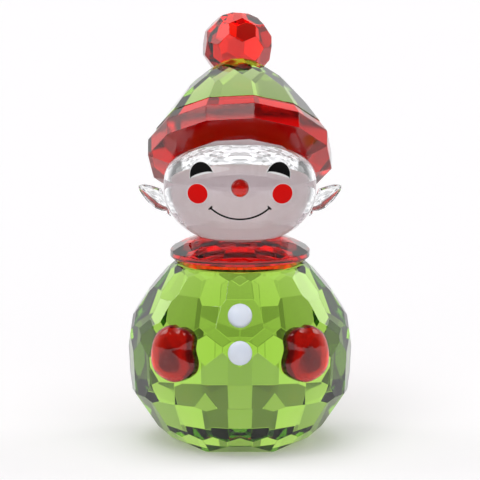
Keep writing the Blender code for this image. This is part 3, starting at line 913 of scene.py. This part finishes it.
@dataclass(frozen=True)
class Head:
    """The clear head, with its ears, its nose and the printed face.

    Heights of the face and ears are counted from the head's centre. The head is a rounded block: its half
    width, half depth, top and bottom are its reach from the centre, and its roundness is 2 for a ball.
    """

    centre: float = 0.03275
    half_width: float = 0.0095
    half_depth: float = 0.0070
    top: float = 0.0051
    bottom: float = 0.0075
    roundness: float = 2.3
    segments: int = 128
    rings: int = 80
    seat_drop: float = 0.0065
    glue_line: float = 0.0003
    nose_height: float = 0.00047
    nose_radius: float = 0.0011
    nose_steps: int = 48
    nose_wall: float = 0.0002
    nose_dome: float = 0.0008
    print_thickness: float = 0.00004
    cheek_across: float = 0.0052
    cheek_height: float = -0.0004
    cheek_radius: float = 0.00122
    # The white underprint shows this far around a cheek: a painted highlight halo.
    cheek_rim: float = 0.00008
    cheek_grid: tuple[int, int] = (48, 12)
    eye_across: float = 0.0047
    eye_height: float = 0.0018
    eye_half_width: float = 0.00142
    eye_top: float = 0.00150
    eye_underside: float = 0.00035
    eye_turn: float = 17.0
    # Below: how far the white underprint shows past each eye, how far its top is raised and its bottom lowered,
    # and how much further it reaches under the eye. This white rim and crescent is painted highlight.
    eye_rim: float = 0.00009
    eye_rim_rise: float = 0.00004
    eye_highlight_fill: float = 0.0002
    eye_grid: tuple[int, int] = (40, 8)
    mouth_half_width: float = 0.0037
    mouth_height: float = -0.00205
    mouth_drop: float = 0.0015
    mouth_stroke: float = 0.00020
    mouth_tick: float = 0.00062
    mouth_grid: tuple[int, int] = (100, 2)
    ear_height: float = -0.0027
    ear_length: float = 0.0042
    ear_rise: float = 33.0
    ear_half_width: float = 0.00135
    ear_half_thickness: float = 0.0010
    ear_root_share: float = 0.78
    ear_root_growth: float = 4.0
    ear_point_power: float = 1.7
    ear_belly_power: float = 0.6
    ear_cement_share: float = 1.8
    ear_stations: int = 28
    ear_steps: int = 48

    def reach(self, x: float, z: float) -> float:
        """How far the head's front lies before its centre, at a place of the face."""
        tall = self.top if z > 0 else self.bottom
        left = 1.0 - abs(x / self.half_width) ** self.roundness - abs(z / tall) ** self.roundness
        return self.half_depth * max(0.0, left) ** (1.0 / self.roundness)

    def normal(self, spot: Vector) -> Vector:
        """The way that the head's surface looks at a point of it."""
        tall = self.top if spot.z > 0 else self.bottom
        parts = []
        for value, size in zip(spot, (self.half_width, self.half_depth, tall)):
            parts.append(math.copysign(abs(value / size) ** (self.roundness - 1.0) / size, value))
        return Vector(parts).normalized()

    def face_point(self, x: float, z: float, lift: float) -> Vector:
        """A point of the face, lifted off its surface.

        Args:
            x: The place across.
            z: The place up, from the head's centre.
            lift: How far the point stands off the glass.

        Returns:
            The point in the object's frame.
        """
        spot = Vector((x, -self.reach(x, z), z))
        return spot + self.normal(spot) * lift + Vector((0, 0, self.centre))

    def build(self, finishes: Materials, hat: Matrix) -> None:
        """Grinds the head and sets everything on it.

        Args:
            finishes: The materials by the finish's name.
            hat: The matrix of the hat's seat.
        """
        self.build_head(finishes, hat)
        for side in Side:
            self.build_ear(side, finishes["clear_crystal"])
        self.build_nose(finishes)
        for side in Side:
            self.build_cheek(side, finishes)
            self.build_eye(side, finishes)
        self.build_mouth(finishes["black_enamel"])

    def build_head(self, finishes: Materials, hat: Matrix) -> None:
        """Grinds the head from a ball: smooth all round, and flat under the hat and on the collar.

        Both flats get milky cement, which keeps the red stones from showing all through the face.

        Args:
            finishes: The materials by the finish's name.
            hat: The matrix of the hat's seat.
        """
        deselect_all()
        bpy.ops.mesh.primitive_uv_sphere_add(
            segments=self.segments, ring_count=self.rings, radius=self.half_width, location=(0, 0, 0),
        )
        piece = new_piece("head_stone")
        for vertex in piece.data.vertices:
            ray = vertex.co / self.half_width
            tall = self.top if ray.z > 0 else self.bottom
            share = sum(
                abs(value / size) ** self.roundness
                for value, size in zip(ray, (self.half_width, self.half_depth, tall))
            )
            vertex.co = ray * share ** (-1.0 / self.roundness) + Vector((0, 0, self.centre))
        axis = hat.to_3x3() @ Vector((0, 0, 1))
        down = Vector((0, 0, -1))
        grind(piece, (
            (Vector((0, 0, self.centre - self.seat_drop - CEMENT_HALF)), down),
            (hat.translation - axis * (self.glue_line - CEMENT_HALF), axis),
        ))
        tidy_mesh(piece)
        finish_piece(piece, finishes["clear_crystal"], "head", Shade.SMOOTH)
        coat_flats(piece, [axis, down], finishes["milky_cement"])

    def build_ear(self, side: Side, material: bpy.types.Material) -> None:
        """Presses an ear: a pointed drop, ground flat where it meets the head.

        The drop is a rod along the ear's axis. Its first ring lies inside the head, where grinding takes it
        away, and the others swell from the root and run out to a point.

        Args:
            side: Which ear.
            material: Its material.
        """
        left = 1.0 - abs(self.ear_height / self.bottom) ** self.roundness
        root = Vector((self.half_width * left ** (1.0 / self.roundness), 0, self.ear_height))
        normal = self.normal(root)
        rise = math.radians(self.ear_rise)
        axis = Vector((math.cos(rise), 0, math.sin(rise)))
        across = Vector((-math.sin(rise), 0, math.cos(rise)))
        node = side.node("ear")
        deselect_all()
        bpy.ops.mesh.primitive_cylinder_add(
            vertices=self.ear_steps, radius=self.ear_half_width, depth=self.ear_length, end_fill_type="NGON",
            location=(0, 0, 0),
        )
        piece = new_piece(f"{node}_drop")
        with editing(piece):
            bpy.ops.mesh.select_all(action="DESELECT")
        for edge in piece.data.edges:
            low, high = (piece.data.vertices[index].co.z for index in edge.vertices)
            edge.select = abs(high - low) > self.ear_length / 2
        with editing(piece, everything=False):
            bpy.ops.mesh.subdivide(number_cuts=self.ear_stations - 1)
        for vertex in piece.data.vertices:
            station = round((vertex.co.z / self.ear_length + 0.5) * self.ear_stations)
            turn = math.atan2(vertex.co.y, vertex.co.x)
            share = max(0.0, station - 1) / (self.ear_stations - 1)
            swell = self.ear_root_share + (1 - self.ear_root_share) * min(1.0, self.ear_root_growth * share)
            spread = swell * max(0.0, 1 - share ** self.ear_point_power) ** self.ear_belly_power
            along = self.ear_length * share if station else -2 * self.ear_half_width
            spot = root + axis * along
            spot += across * (self.ear_half_width * spread * math.cos(turn))
            spot += Vector((0, self.ear_half_thickness * spread * math.sin(turn), 0))
            vertex.co = spot + Vector((0, 0, self.centre))
        cement = self.glue_line - CEMENT_HALF * self.ear_cement_share
        grind(piece, [(root + Vector((0, 0, self.centre)) + normal * cement, -normal)])
        if side is Side.LEFT:
            with editing(piece):
                bpy.ops.transform.resize(value=(-1, 1, 1), center_override=(0, 0, 0))
        tidy_mesh(piece)
        finish_piece(piece, material, node, Shade.SMOOTH)

    def build_nose(self, finishes: Materials) -> None:
        """Presses the nose, a small domed stone with a silvered back.

        Args:
            finishes: The materials by the finish's name.
        """
        spot = Vector((0, -self.reach(0, self.nose_height), self.nose_height))
        seat = Seat(spot + Vector((0, 0, self.centre)), self.normal(spot))
        wall = self.nose_wall + self.glue_line - CEMENT_HALF / 2
        piece = press_disc("nose_cabochon", self.nose_radius, self.nose_steps, wall, self.nose_dome)
        settle(piece, seat.matrix(CEMENT_HALF / 2))
        finish_piece(piece, finishes["red_nose"], "nose", Shade.SMOOTH)
        coat_flats(piece, [-seat.normal], finishes["silver_foil"])

    def print_patch(
        self, name: str, upper: Line, lower: Line, grid: tuple[int, int], lift: float
    ) -> bpy.types.Object:
        """Prints a thin field of enamel that follows the head's surface.

        Args:
            name: The piece's name.
            upper: The field's upper line, from 0 to 1.
            lower: The field's lower line, from 0 to 1.
            grid: The number of faces along the lines and between them.
            lift: How far its back stands off the glass.

        Returns:
            The piece.
        """
        deselect_all()
        bpy.ops.mesh.primitive_grid_add(
            x_subdivisions=grid[0], y_subdivisions=grid[1], size=2, location=(0, 0, 0),
        )
        piece = new_piece(name)
        for vertex in piece.data.vertices:
            along = vertex.co.x / 2 + 0.5
            share = 0.5 - vertex.co.y / 2
            x, z = (above + (below - above) * share for above, below in zip(upper(along), lower(along)))
            vertex.co = self.face_point(x, z, lift)
        with editing(piece):
            bpy.ops.mesh.remove_doubles(threshold=MERGE)
            bpy.ops.mesh.select_all(action="SELECT")
            bpy.ops.mesh.dissolve_degenerate(threshold=MERGE)
        if piece.data.polygons[0].normal.y > 0:
            with editing(piece):
                bpy.ops.mesh.flip_normals()
        select_only(piece)
        paste = piece.modifiers.new("paste", "SOLIDIFY")
        paste.thickness = self.print_thickness
        paste.offset = 1.0
        bpy.ops.object.modifier_apply(modifier=paste.name)
        return piece

    def second_lift(self) -> float:
        """How far a print stands off the glass where another print lies under it."""
        return 2 * PRINT_LIFT + self.print_thickness

    def cheek_line(self, side: Side, radius: float, way: int, along: float) -> Point2:
        """A point of a cheek's outline.

        Args:
            side: Which cheek.
            radius: The outline's radius.
            way: 1 for the outline's upper half, -1 for its lower half.
            along: The place on that half, from 0 to 1.

        Returns:
            The place across and up.
        """
        turn = math.pi * along
        across = side.value * self.cheek_across - radius * math.cos(turn)
        return across, self.cheek_height + way * radius * math.sin(turn)

    def build_cheek(self, side: Side, finishes: Materials) -> None:
        """Prints a round cheek on a white underprint, whose rim around the cheek is painted highlight.

        Args:
            side: Which cheek.
            finishes: The materials by the finish's name.
        """
        node = side.node("cheek")
        for part, radius, lift, finish, slot, solid in (
            # The white underprint, wider than the dot: its rim is painted highlight.
            ("base", self.cheek_radius + self.cheek_rim, PRINT_LIFT, "white_base", "white_glass", None),
            ("dot", self.cheek_radius, self.second_lift(), "red_enamel", "red_enamel", node),
        ):
            upper = partial(self.cheek_line, side, radius, 1)
            lower = partial(self.cheek_line, side, radius, -1)
            patch = self.print_patch(f"{node}_{part}", upper, lower, self.cheek_grid, lift)
            finish_piece(patch, finishes[finish], solid, Shade.SMOOTH)

    def eye_line(self, side: Side, bulge: float, half_width: float, drop: float, along: float) -> Point2:
        """A point of a line of a closed eye, which is turned so that its outer end hangs lower.

        Args:
            side: Which eye.
            bulge: How far the line's middle stands above its ends.
            half_width: Half the line's width.
            drop: How far the whole line is lowered.
            along: The place on the line, from 0 to 1.

        Returns:
            The place across and up.
        """
        turn = math.radians(self.eye_turn)
        out = -half_width * math.cos(math.pi * along)
        rise = bulge * math.sin(math.pi * along)
        x = out * math.cos(turn) + rise * math.sin(turn)
        z = rise * math.cos(turn) - out * math.sin(turn)
        return side.value * (self.eye_across + x), self.eye_height + z - drop

    def build_eye(self, side: Side, finishes: Materials) -> None:
        """Prints a closed, smiling eye: a black crescent on a white underprint that shows past it as painted
        highlight, a thin rim and a white crescent under the eye.

        Args:
            side: Which eye.
            finishes: The materials by the finish's name.
        """
        node = side.node("eye")
        wide = self.eye_half_width + self.eye_rim
        # The white reaches further under the eye than the black: a painted highlight crescent.
        fill = self.eye_underside - self.eye_highlight_fill
        base = self.print_patch(
            f"{node}_base",
            partial(self.eye_line, side, self.eye_top, wide, -self.eye_rim_rise),
            partial(self.eye_line, side, fill, wide, self.eye_rim_rise),
            self.eye_grid, PRINT_LIFT,
        )
        finish_piece(base, finishes["white_base"], None, Shade.SMOOTH)
        lid = self.print_patch(
            f"{node}_crescent",
            partial(self.eye_line, side, self.eye_top, self.eye_half_width, 0.0),
            partial(self.eye_line, side, self.eye_underside, self.eye_half_width, 0.0),
            self.eye_grid, self.second_lift(),
        )
        finish_piece(lid, finishes["black_enamel"], node, Shade.SMOOTH)

    def mouth_line(self, way: int, along: float) -> Point2:
        """A point of the edge of the smile, an arc with a short tick across each end.

        Args:
            way: -1 for the upper edge, 1 for the lower.
            along: The place on the edge, from 0 to 1.

        Returns:
            The place across and up.
        """
        radius = (self.mouth_half_width ** 2 + self.mouth_drop ** 2) / (2 * self.mouth_drop)
        half_turn = math.asin(self.mouth_half_width / radius)
        middle = self.mouth_height - self.mouth_drop + radius
        tick_share = self.mouth_stroke / radius / (2 * half_turn)
        at_end = along < tick_share or along > 1 - tick_share
        reach = radius + way * (self.mouth_tick if at_end else self.mouth_stroke) / 2
        turn = half_turn * (2 * along - 1)
        return reach * math.sin(turn), middle - reach * math.cos(turn)

    def build_mouth(self, material: bpy.types.Material) -> None:
        """Prints the smile.

        Args:
            material: Its material.
        """
        upper = partial(self.mouth_line, -1)
        lower = partial(self.mouth_line, 1)
        piece = self.print_patch("mouth_line", upper, lower, self.mouth_grid, PRINT_LIFT)
        finish_piece(piece, material, "mouth", Shade.SMOOTH)


@dataclass(frozen=True)
class Hat:
    """The hat: a red band, a green crown and a red pompom, leaning back.

    Heights of a stone are counted along the hat's axis, from that stone's foot.
    """

    head_centre: float
    lean: float = 37.0
    spin: float = 8.9
    behind: float = 0.0038
    above: float = 0.00106
    sides: int = 12
    glue_line: float = 0.0003
    brim_radius: float = 0.01165
    brim_foot_radius: float = 0.0088
    brim_foot: float = 0.0010
    brim_band: float = 0.0022
    brim_top_radius: float = 0.0107
    brim_top: float = 0.0015
    crown_base_radius: float = 0.0102
    crown_waist_radius: float = 0.0075
    crown_waist: float = 0.0044
    crown_shoulder_radius: float = 0.0054
    crown_shoulder: float = 0.0070
    crown_top_radius: float = 0.0030
    crown_height: float = 0.0091
    pompom_radius: float = 0.00414
    pompom_centre: float = 0.0033
    pompom_aside: float = -0.00035
    pompom_sides: int = 8
    pompom_tilt: float = 34.0
    pompom_top_tilt: float = 62.0
    pompom_top_share: float = 0.97
    polish: float = 0.00003

    def place(self) -> Matrix:
        """Where the hat's axis starts and how it leans."""
        seat = Vector((0, self.behind, self.head_centre + self.above))
        return Matrix.Translation(seat) @ Matrix.Rotation(math.radians(-self.lean), 4, "X")

    def build(self, finishes: Materials) -> None:
        """Cuts the hat's three stones.

        Args:
            finishes: The materials by the finish's name.
        """
        brim_top = self.build_brim(finishes)
        crown_top = self.build_crown(brim_top + self.glue_line, finishes["green_crystal"])
        self.build_pompom(crown_top + self.glue_line, finishes["red_crystal"])

    def build_brim(self, finishes: Materials) -> float:
        """Cuts the band, with milky cement under it and silver on its upper flat.

        Args:
            finishes: The materials by the finish's name.

        Returns:
            The height of the solid's top along the hat's axis.
        """
        band_top = self.brim_foot + self.brim_band
        top = band_top + self.brim_top
        start = self.spin + 180.0 / self.sides
        apothem = self.brim_radius * math.cos(math.pi / self.sides)
        foot_tilt = slope((self.brim_foot_radius, 0.0), (self.brim_radius, self.brim_foot))
        top_tilt = slope((self.brim_radius, band_top), (self.brim_top_radius, top))
        piece = round_blank("brim_stone", self.brim_radius * BLANK_SPARE, -CEMENT_HALF, top + CEMENT_HALF)
        grind_tiers(piece, (
            Tier(self.sides, start, foot_tilt, apothem, self.brim_foot),
            Tier(self.sides, start, 0.0, apothem, self.brim_foot),
            Tier(self.sides, start, top_tilt, apothem, band_top),
        ))
        tidy_mesh(piece)
        polish_edges(piece, self.polish)
        settle(piece, self.place())
        finish_piece(piece, finishes["red_crystal"], "hat_brim", Shade.FACETED)
        axis = self.place().to_3x3() @ Vector((0, 0, 1))
        coat_flats(piece, [-axis], finishes["milky_cement"])
        coat_flats(piece, [axis], finishes["silver_foil"])
        return top

    def build_crown(self, foot: float, material: bpy.types.Material) -> float:
        """Cuts the crown.

        Args:
            foot: The height of the solid's foot along the hat's axis.
            material: Its material.

        Returns:
            The height of the solid's top along the hat's axis.
        """
        base = (self.crown_base_radius, 0.0)
        waist = (self.crown_waist_radius, self.crown_waist)
        shoulder = (self.crown_shoulder_radius, self.crown_shoulder)
        top = (self.crown_top_radius, self.crown_height)
        between = self.spin + 180.0 / self.sides
        widest = self.crown_base_radius * BLANK_SPARE
        piece = round_blank("crown_stone", widest, -CEMENT_HALF, self.crown_height + CEMENT_HALF)
        grind_tiers(piece, (
            Tier(self.sides, between, slope(base, waist), *base),
            Tier(self.sides, self.spin, slope(waist, shoulder), *waist),
            Tier(self.sides, between, slope(shoulder, top), *shoulder),
        ))
        tidy_mesh(piece)
        polish_edges(piece, self.polish)
        settle(piece, self.place() @ Matrix.Translation((0, 0, foot)))
        finish_piece(piece, material, "hat_crown", Shade.FACETED)
        return foot + self.crown_height

    def build_pompom(self, foot: float, material: bpy.types.Material) -> None:
        """Cuts the ball, flat underneath and on top.

        Args:
            foot: The height of the solid's foot along the hat's axis.
            material: Its material.
        """
        radius = self.pompom_radius
        piece = round_blank("pompom_stone", radius * BLANK_SPARE, -self.pompom_centre - CEMENT_HALF, radius)
        between = self.spin + 180.0 / self.pompom_sides
        tiers = []
        for start, tilt in (
            (self.spin, 0.0), (between, self.pompom_tilt), (self.spin, self.pompom_top_tilt),
            (between, -self.pompom_tilt),
        ):
            rise = math.radians(tilt)
            reach, height = radius * math.cos(rise), radius * math.sin(rise)
            tiers.append(Tier(self.pompom_sides, start, tilt, reach, height))
        grind_tiers(piece, tiers)
        grind(piece, [(Vector((0, 0, radius * self.pompom_top_share)), Vector((0, 0, 1)))])
        tidy_mesh(piece)
        polish_edges(piece, self.polish)
        place = Matrix.Translation((self.pompom_aside, 0, foot + self.pompom_centre))
        settle(piece, self.place() @ place)
        finish_piece(piece, material, "pompom", Shade.FACETED)


@dataclass(frozen=True)
class Card:
    """A round card in the surroundings, which only the rays through the stones see.

    It stands at an azimuth and its mirror image, is half_angle degrees in radius with an edge of soft degrees,
    and multiplies what is behind it by its shade.
    """

    azimuth: float
    height: float
    half_angle: float
    shade: float
    soft: float = 3.0


@dataclass(frozen=True)
class SoftBox:
    """A large, even lamp far from the elf, as wide as the angle given.

    The gloss of the stones mirrors a softbox. A fill isn't mirrored and also lights what is seen through them.
    """

    name: str
    azimuth: float
    height: float
    angle: float
    strength: float
    mirrored: bool = True


@dataclass(frozen=True)
class Studio:
    """The table, the lamps, the surroundings and the camera.

    The room is what matt surfaces see. The panels are what is seen through the stones: patches of light and
    dark, the same on both sides of the elf. The gloss sees the room's front, dim, and a white backdrop.
    """

    aim_height: float = 0.02547
    camera_distance: float = 0.600
    camera_rise: float = 10.0
    camera_lens: float = 360.9
    sensor_width: float = 36.0
    table_size: float = 40.0
    table_drop: float = 0.00005
    table_colour: str = "F1EFF1"
    table_glow: float = 0.20
    room_light: float = 0.22
    front_gloss: float = 0.08
    backdrop_start: float = 0.6
    panel_scale: float = 19.0
    panel_dark: float = 0.38
    panel_light: float = 1.20
    panel_light_from: float = 0.75
    cards: tuple[Card, ...] = (
        Card(azimuth=0.0, height=10.0, half_angle=40.0, shade=1.20, soft=8.0),
        Card(azimuth=62.0, height=8.0, half_angle=14.0, shade=0.30),
        Card(azimuth=118.0, height=-12.0, half_angle=22.0, shade=0.22),
        Card(azimuth=118.0, height=20.0, half_angle=12.0, shade=0.30),
        Card(azimuth=180.0, height=38.0, half_angle=14.0, shade=0.40),
        Card(azimuth=24.0, height=40.0, half_angle=7.0, shade=0.25, soft=1.0),
        Card(azimuth=180.0, height=-38.0, half_angle=6.0, shade=1.35, soft=0.5),
        Card(azimuth=158.0, height=-18.0, half_angle=4.0, shade=0.35, soft=0.5),
        Card(azimuth=166.0, height=12.0, half_angle=5.0, shade=0.30, soft=0.5),
        Card(azimuth=150.0, height=58.0, half_angle=14.0, shade=0.20),
    )
    boxes: tuple[SoftBox, ...] = (
        SoftBox("front_softbox", azimuth=-32.0, height=58.0, angle=22.0, strength=0.30),
        SoftBox("top_fill", azimuth=0.0, height=80.0, angle=60.0, strength=1.40, mirrored=False),
        SoftBox("left_softbox", azimuth=-108.0, height=34.0, angle=24.0, strength=0.30),
        SoftBox("right_softbox", azimuth=112.0, height=34.0, angle=24.0, strength=0.30),
        SoftBox("front_fill", azimuth=0.0, height=20.0, angle=60.0, strength=0.60, mirrored=False),
    )

    def build(self) -> None:
        """Sets up the whole studio."""
        self.build_table()
        self.build_surroundings()
        for box in self.boxes:
            self.build_box(box)
        self.build_camera()
        bpy.context.scene.view_settings.view_transform = "Standard"

    def build_table(self) -> None:
        """Lays the white table, which keeps the elf's shadow.

        It glows a little for the camera and the gloss alone, which makes it white and puts no light on the elf.
        """
        deselect_all()
        bpy.ops.mesh.primitive_plane_add(size=self.table_size, location=(0, 0, -self.table_drop))
        table = new_piece("table")
        bpy.ops.object.transform_apply(location=True, rotation=True, scale=True)
        material = bpy.data.materials.new("matt_white_card")
        material.use_nodes = True
        tree = material.node_tree
        shader = tree.nodes["Principled BSDF"]
        set_values(shader, {
            "Base Color": linear(self.table_colour), "Roughness": 1.0, "Specular IOR Level": 0.0,
            "Emission Color": linear(WHITE),
        })
        path = add_node(tree, "LightPath")
        seen = add_node(
            tree, "Math", {0: path.outputs["Is Camera Ray"], 1: path.outputs["Is Glossy Ray"]},
            operation="MAXIMUM",
        )
        glow = add_node(tree, "Math", {0: seen.outputs[0]}, {1: self.table_glow}, operation="MULTIPLY")
        tree.links.new(glow.outputs[0], shader.inputs["Emission Strength"])
        table.data.materials.append(material)
        table.visible_transmission = False

    def build_surroundings(self) -> None:
        """Paints the room: white to the camera, panels and cards to the rays through the stones."""
        world = bpy.data.worlds.new("studio")
        bpy.context.scene.world = world
        world.use_nodes = True
        tree = world.node_tree
        tree.nodes.clear()
        place = add_node(tree, "TexCoord")
        axes = add_node(tree, "SeparateXYZ", {0: place.outputs["Generated"]})
        aside = add_node(tree, "Math", {0: axes.outputs["X"]}, operation="ABSOLUTE")
        both = add_node(
            tree, "CombineXYZ", {0: aside.outputs[0], 1: axes.outputs["Y"], 2: axes.outputs["Z"]},
        )
        level = self.add_panels(tree, both.outputs[0])
        backdrop = add_node(
            tree, "MapRange", {"Value": axes.outputs["Y"]},
            {"From Min": 0.0, "From Max": self.backdrop_start, "To Min": self.front_gloss, "To Max": 1.0},
        )
        path = add_node(tree, "LightPath")
        strength = add_node(
            tree, "Mix", {0: path.outputs["Is Glossy Ray"], 3: backdrop.outputs[0]}, {2: self.room_light},
            data_type="FLOAT",
        )
        strength = add_node(
            tree, "Mix", {0: path.outputs["Is Transmission Ray"], 2: strength.outputs[0], 3: level},
            data_type="FLOAT",
        )
        strength = add_node(
            tree, "Mix", {0: path.outputs["Is Camera Ray"], 2: strength.outputs[0]}, {3: 1.0},
            data_type="FLOAT",
        )
        light = add_node(tree, "Background", {"Strength": strength.outputs[0]}, {"Color": linear(WHITE)})
        tree.nodes.active = add_node(tree, "OutputWorld", {"Surface": light.outputs[0]})

    def add_panels(self, tree: bpy.types.NodeTree, both: bpy.types.NodeSocket) -> bpy.types.NodeSocket:
        """Adds the panels, and the cards before them.

        Args:
            tree: The world's nodes.
            both: The socket of the way that a ray goes, the same for both sides of the elf.

        Returns:
            The socket of their brightness.
        """
        panels = add_node(tree, "TexVoronoi", {"Vector": both}, {"Scale": self.panel_scale}, feature="F1")
        shade = add_node(tree, "SeparateColor", {0: panels.outputs["Color"]})
        level = add_node(
            tree, "MapRange", {"Value": shade.outputs[0]},
            {
                "From Min": 0.0, "From Max": self.panel_light_from,
                "To Min": self.panel_dark, "To Max": self.panel_light,
            },
        )
        for card in self.cards:
            facing = add_node(
                tree, "VectorMath", {0: both}, {1: direction(card.azimuth, card.height)},
                operation="DOT_PRODUCT",
            )
            edge = add_node(
                tree, "MapRange", {"Value": facing.outputs["Value"]},
                {
                    "From Min": math.cos(math.radians(card.half_angle + card.soft)),
                    "From Max": math.cos(math.radians(card.half_angle)),
                    "To Min": 1.0,
                    "To Max": card.shade,
                },
            )
            level = add_node(
                tree, "Math", {0: level.outputs[0], 1: edge.outputs[0]}, operation="MULTIPLY",
            )
        return level.outputs[0]

    def build_box(self, box: SoftBox) -> None:
        """Hangs a softbox or a fill.

        Args:
            box: The lamp.
        """
        lamp = bpy.data.lights.new(box.name, "SUN")
        lamp.angle = math.radians(box.angle)
        lamp.energy = box.strength
        holder = bpy.data.objects.new(box.name, lamp)
        bpy.context.scene.collection.objects.link(holder)
        away = direction(box.azimuth, box.height)
        holder.location = away + Vector((0, 0, self.aim_height))
        holder.rotation_euler = away.to_track_quat("Z", "Y").to_euler()
        holder.visible_transmission = not box.mirrored
        holder.visible_glossy = box.mirrored

    def build_camera(self) -> None:
        """Sets the camera at the photograph's viewing angle."""
        lens = bpy.data.cameras.new("camera")
        lens.sensor_width = self.sensor_width
        lens.lens = self.camera_lens
        camera = bpy.data.objects.new("camera", lens)
        bpy.context.scene.collection.objects.link(camera)
        aim = Vector((0, 0, self.aim_height))
        camera.location = direction(0.0, self.camera_rise) * self.camera_distance + aim
        camera.rotation_euler = (math.radians(90.0 - self.camera_rise), 0, 0)
        bpy.context.scene.camera = camera


def main() -> None:
    """Builds the studio and the elf, from the body up."""
    logging.basicConfig(level=logging.INFO)
    materials = Finishes().materials()
    head = Head()
    hat = Hat(head.centre)
    Studio().build()
    Body().build(materials)
    Collar().build(materials)
    head.build(materials, hat.place())
    hat.build(materials)


if __name__ == "__main__":
    main()
